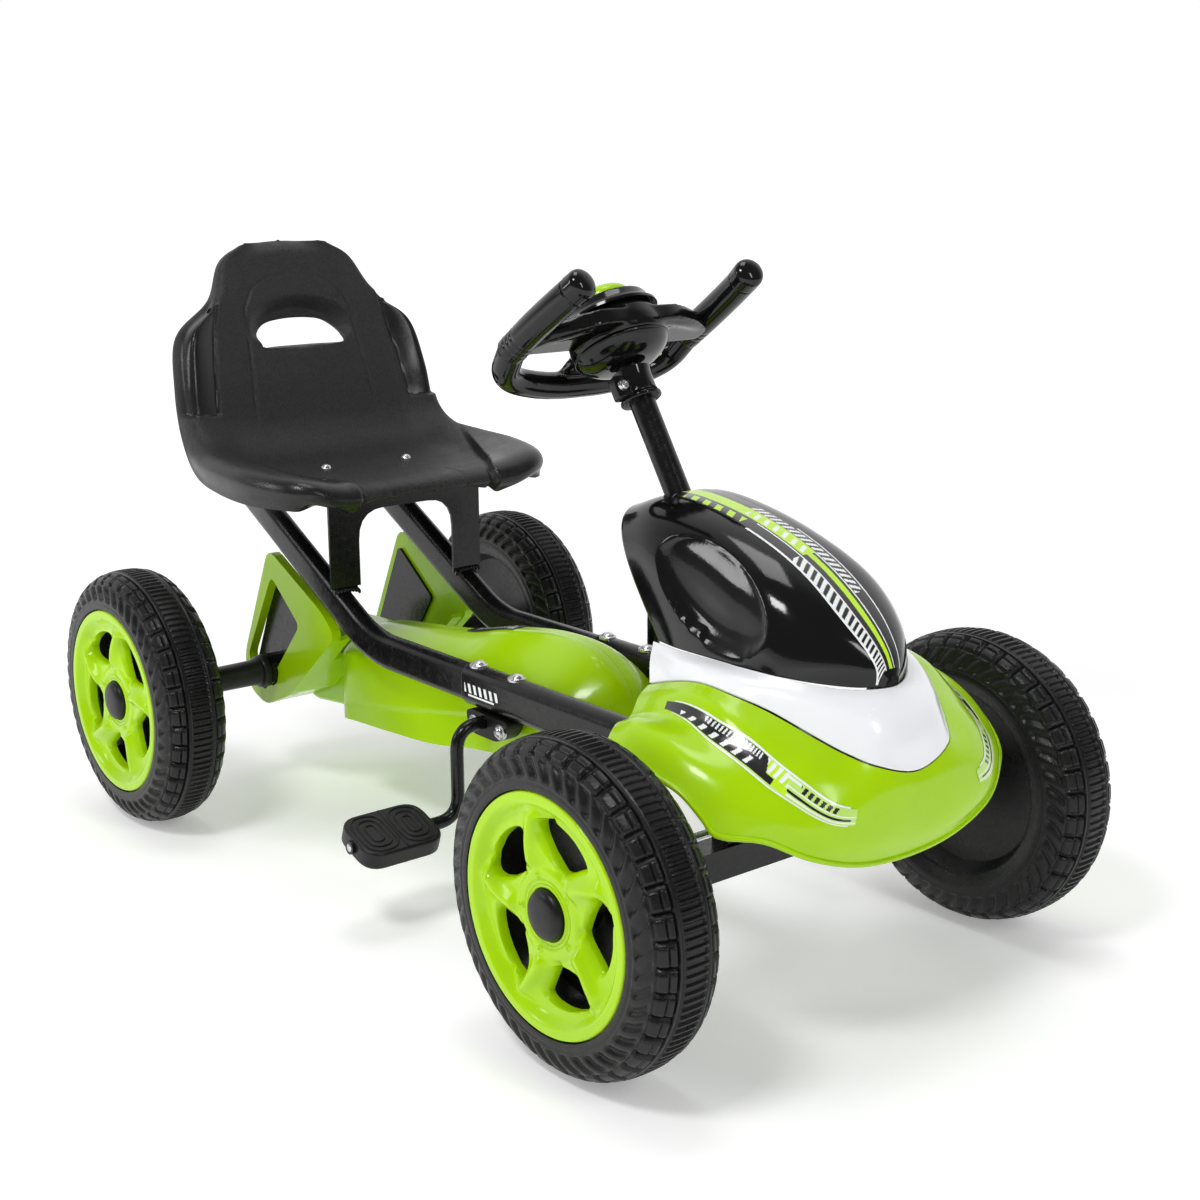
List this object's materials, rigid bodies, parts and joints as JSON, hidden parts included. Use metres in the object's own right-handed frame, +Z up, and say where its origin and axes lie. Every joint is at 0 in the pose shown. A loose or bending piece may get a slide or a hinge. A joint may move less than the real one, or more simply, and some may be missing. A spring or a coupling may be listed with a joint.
{
  "type": "pedal go kart",
  "caption": "Child's pedal go kart with moulded bucket seat, twin frame rails, chain-driven rear axle, steered front wheels and a moulded nose fairing.",
  "frame": {"origin": "on the ground, midway between the front and rear axles on the centre plane", "axes": "+X forward, +Y to the rider's left, +Z up"},
  "size_m": [0.948, 0.5336, 0.5714],
  "materials": {
    "lime_plastic": "gloss",
    "white_plastic": "gloss",
    "gloss_black_plastic": "gloss",
    "satin_black_plastic": "satin",
    "tyre": "matte",
    "black_paint": "gloss",
    "zinc_steel": "zinc"
  },
  "bodies": {
    "chassis": {"bearing_plate_left": "black_paint", "bearing_plate_right": "black_paint", "chain_cover_left": "lime_plastic", "chain_cover_right": "lime_plastic", "crank_bracket_left": "black_paint", "crank_bracket_right": "black_paint", "drive_chain": "zinc_steel", "fairing_cowl": "gloss_black_plastic", "fairing_lower": "lime_plastic", "fairing_panel": "white_plastic", "front_axle_beam": "black_paint", "front_rail_left": "black_paint", "front_rail_right": "black_paint", "rail_bolt_left_1": "zinc_steel", "rail_bolt_left_2": "zinc_steel", "rail_bolt_right_1": "zinc_steel", "rail_bolt_right_2": "zinc_steel", "rear_fin_left": "lime_plastic", "rear_fin_right": "lime_plastic", "rear_rail_left": "black_paint", "rear_rail_right": "black_paint", "rear_seat_strap": "black_paint", "seat_bracket": "black_paint", "seat_shell": "satin_black_plastic", "steering_column_bearing": "black_paint"},
    "steering": {"steering_column": "black_paint", "column_collar": "gloss_black_plastic", "collar_bolt": "zinc_steel", "wheel_boss": "gloss_black_plastic", "steering_wheel": "gloss_black_plastic", "grip_right": "gloss_black_plastic", "grip_left": "gloss_black_plastic", "horn_ring": "satin_black_plastic"},
    "horn": {"horn_button": "lime_plastic"},
    "knuckle_right": {"knuckle_right": "black_paint"},
    "knuckle_left": {"knuckle_left": "black_paint"},
    "front_right_wheel": {"front_right_tyre": "tyre", "front_right_rim": "lime_plastic", "front_right_hub_cap": "satin_black_plastic"},
    "front_left_wheel": {"front_left_tyre": "tyre", "front_left_rim": "lime_plastic", "front_left_hub_cap": "satin_black_plastic"},
    "tie_rod_right": {"tie_rod_right": "zinc_steel"},
    "tie_rod_left": {"tie_rod_left": "zinc_steel"},
    "rear_axle": {"rear_axle": "zinc_steel", "rear_sprocket": "zinc_steel", "axle_spacer_right": "satin_black_plastic", "axle_spacer_left": "satin_black_plastic", "rear_right_tyre": "tyre", "rear_right_rim": "lime_plastic", "rear_right_hub_cap": "satin_black_plastic"},
    "rear_left_wheel": {"rear_left_tyre": "tyre", "rear_left_rim": "lime_plastic", "rear_left_hub_cap": "satin_black_plastic"},
    "crank": {"crank_rod": "black_paint", "chainring": "zinc_steel"},
    "pedal_right": {"pedal_right": "satin_black_plastic"},
    "pedal_left": {"pedal_left": "satin_black_plastic"}
  },
  "joints": [
    {"name": "steering_turn", "type": "hinge", "parent": "chassis", "child": "steering", "pos_m": [0.1292, 0, 0.4985], "axis": [-0.538, 0, 0.8429], "range_deg": [-16.8, 16.8]},
    {"name": "knuckle_right_turn", "type": "hinge", "parent": "chassis", "child": "knuckle_right", "pos_m": [0.346, -0.15, 0.128], "axis": [0, 0, 1], "range_deg": [-18.05, 18.05]},
    {"name": "knuckle_left_turn", "type": "hinge", "parent": "chassis", "child": "knuckle_left", "pos_m": [0.346, 0.15, 0.128], "axis": [0, 0, 1], "range_deg": [-18.05, 18.05]},
    {"name": "tie_rod_right_slide", "type": "slide", "parent": "chassis", "child": "tie_rod_right", "axis": [0, 1, 0], "range_m": [-0.0124, 0.0124]},
    {"name": "tie_rod_left_slide", "type": "slide", "parent": "chassis", "child": "tie_rod_left", "axis": [0, 1, 0], "range_m": [-0.0124, 0.0124]},
    {"name": "front_right_wheel_spin", "type": "hinge", "parent": "knuckle_right", "child": "front_right_wheel", "pos_m": [0.346, -0.2215, 0.128], "axis": [0, 1, 0], "continuous": true},
    {"name": "front_left_wheel_spin", "type": "hinge", "parent": "knuckle_left", "child": "front_left_wheel", "pos_m": [0.346, 0.2215, 0.128], "axis": [0, 1, 0], "continuous": true},
    {"name": "rear_axle_spin", "type": "hinge", "parent": "chassis", "child": "rear_axle", "pos_m": [-0.346, 0, 0.128], "axis": [0, 1, 0], "continuous": true},
    {"name": "rear_left_wheel_spin", "type": "hinge", "parent": "rear_axle", "child": "rear_left_wheel", "pos_m": [-0.346, 0.2295, 0.128], "axis": [0, 1, 0], "continuous": true},
    {"name": "crank_spin", "type": "hinge", "parent": "chassis", "child": "crank", "pos_m": [0.04, 0, 0.1635], "axis": [0, 1, 0], "continuous": true},
    {"name": "pedal_right_spin", "type": "hinge", "parent": "crank", "child": "pedal_right", "pos_m": [0.04, -0.186, 0.0805], "axis": [0, 1, 0], "continuous": true},
    {"name": "pedal_left_spin", "type": "hinge", "parent": "crank", "child": "pedal_left", "pos_m": [0.04, 0.186, 0.2465], "axis": [0, 1, 0], "continuous": true},
    {"name": "horn_press", "type": "slide", "parent": "steering", "child": "horn", "axis": [-0.538, 0, 0.8429], "range_m": [-0.003, 0], "stiffness_N_per_m": 500, "springref_m": 0.002}
  ],
  "couplings": [
    {"joint": "knuckle_right_turn", "follows": "steering_turn", "ratio": 1.0714},
    {"joint": "knuckle_left_turn", "follows": "steering_turn", "ratio": 1.0714},
    {"joint": "tie_rod_right_slide", "follows": "steering_turn", "m_per_rad": -0.042},
    {"joint": "tie_rod_left_slide", "follows": "steering_turn", "m_per_rad": -0.042},
    {"joint": "crank_spin", "follows": "rear_axle_spin", "ratio": 0.63636}
  ]
}
